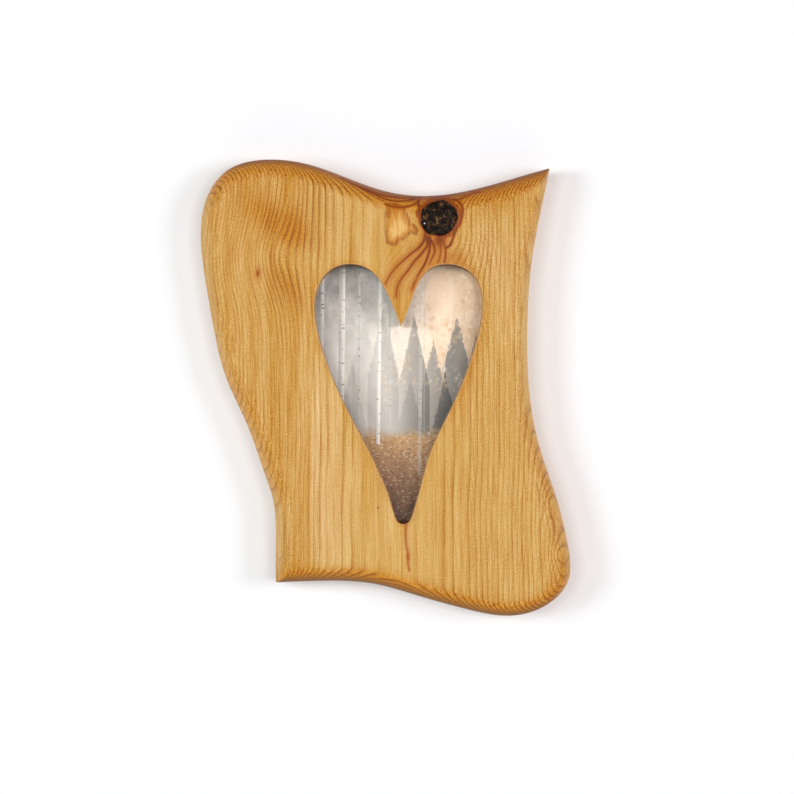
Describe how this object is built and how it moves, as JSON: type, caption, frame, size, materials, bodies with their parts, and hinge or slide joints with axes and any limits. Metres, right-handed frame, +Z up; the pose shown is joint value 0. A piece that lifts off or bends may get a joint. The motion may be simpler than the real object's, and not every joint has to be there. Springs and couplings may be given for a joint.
{
  "type": "photo frame",
  "caption": "Freeform wooden wall photo frame with a heart shaped window, glazed, closed from behind by turn buttons and hung from a ring.",
  "frame": {"origin": "the point on the wall where the hanging nail goes in, under the arch of the hanger ring", "axes": "+Z up, -Y out of the wall towards the viewer (the front), +X to the viewer's right; the wall is the plane Y = 0"},
  "size_m": [0.2004, 0.027, 0.2472],
  "materials": {
    "oiled_pine": "oiled satin",
    "clear_glass": "polished",
    "photo_paper": "satin print",
    "grey_card": "matt",
    "hardboard": "matt pressed board",
    "brass": "plated satin",
    "zinc_steel": "zinc plated",
    "pad_rubber": "matt"
  },
  "bodies": {
    "frame": {"backing_board": "hardboard", "button_screw_lower_left": "brass", "button_screw_lower_right": "brass", "button_screw_upper_left": "brass", "button_screw_upper_right": "brass", "filler_card": "grey_card", "frame_body": "oiled_pine", "glass_pane": "clear_glass", "hanger_screw": "zinc_steel", "hanger_strap": "zinc_steel", "photo_print": "photo_paper", "wall_pad_lower_left": "pad_rubber", "wall_pad_lower_right": "pad_rubber", "wall_pad_upper_left": "pad_rubber", "wall_pad_upper_right": "pad_rubber"},
    "hanger_ring": {"hanger_ring": "zinc_steel"},
    "turn_button_upper_left": {"turn_button_upper_left": "brass"},
    "turn_button_upper_right": {"turn_button_upper_right": "brass"},
    "turn_button_lower_left": {"turn_button_lower_left": "brass"},
    "turn_button_lower_right": {"turn_button_lower_right": "brass"}
  },
  "joints": [
    {"name": "hanger_ring_hinge", "type": "hinge", "parent": "frame", "child": "hanger_ring", "pos_m": [0, -0.0031, -0.00673], "axis": [-1, 0, 0], "range_deg": [0, 160]},
    {"name": "turn_button_upper_left_pivot", "type": "hinge", "parent": "frame", "child": "turn_button_upper_left", "pos_m": [-0.0505, -0.0041, -0.06], "axis": [0, 1, 0], "continuous": true},
    {"name": "turn_button_upper_right_pivot", "type": "hinge", "parent": "frame", "child": "turn_button_upper_right", "pos_m": [0.064, -0.0041, -0.06], "axis": [0, 1, 0], "continuous": true},
    {"name": "turn_button_lower_left_pivot", "type": "hinge", "parent": "frame", "child": "turn_button_lower_left", "pos_m": [-0.0505, -0.0041, -0.14], "axis": [0, 1, 0], "continuous": true},
    {"name": "turn_button_lower_right_pivot", "type": "hinge", "parent": "frame", "child": "turn_button_lower_right", "pos_m": [0.064, -0.0041, -0.14], "axis": [0, 1, 0], "continuous": true}
  ]
}
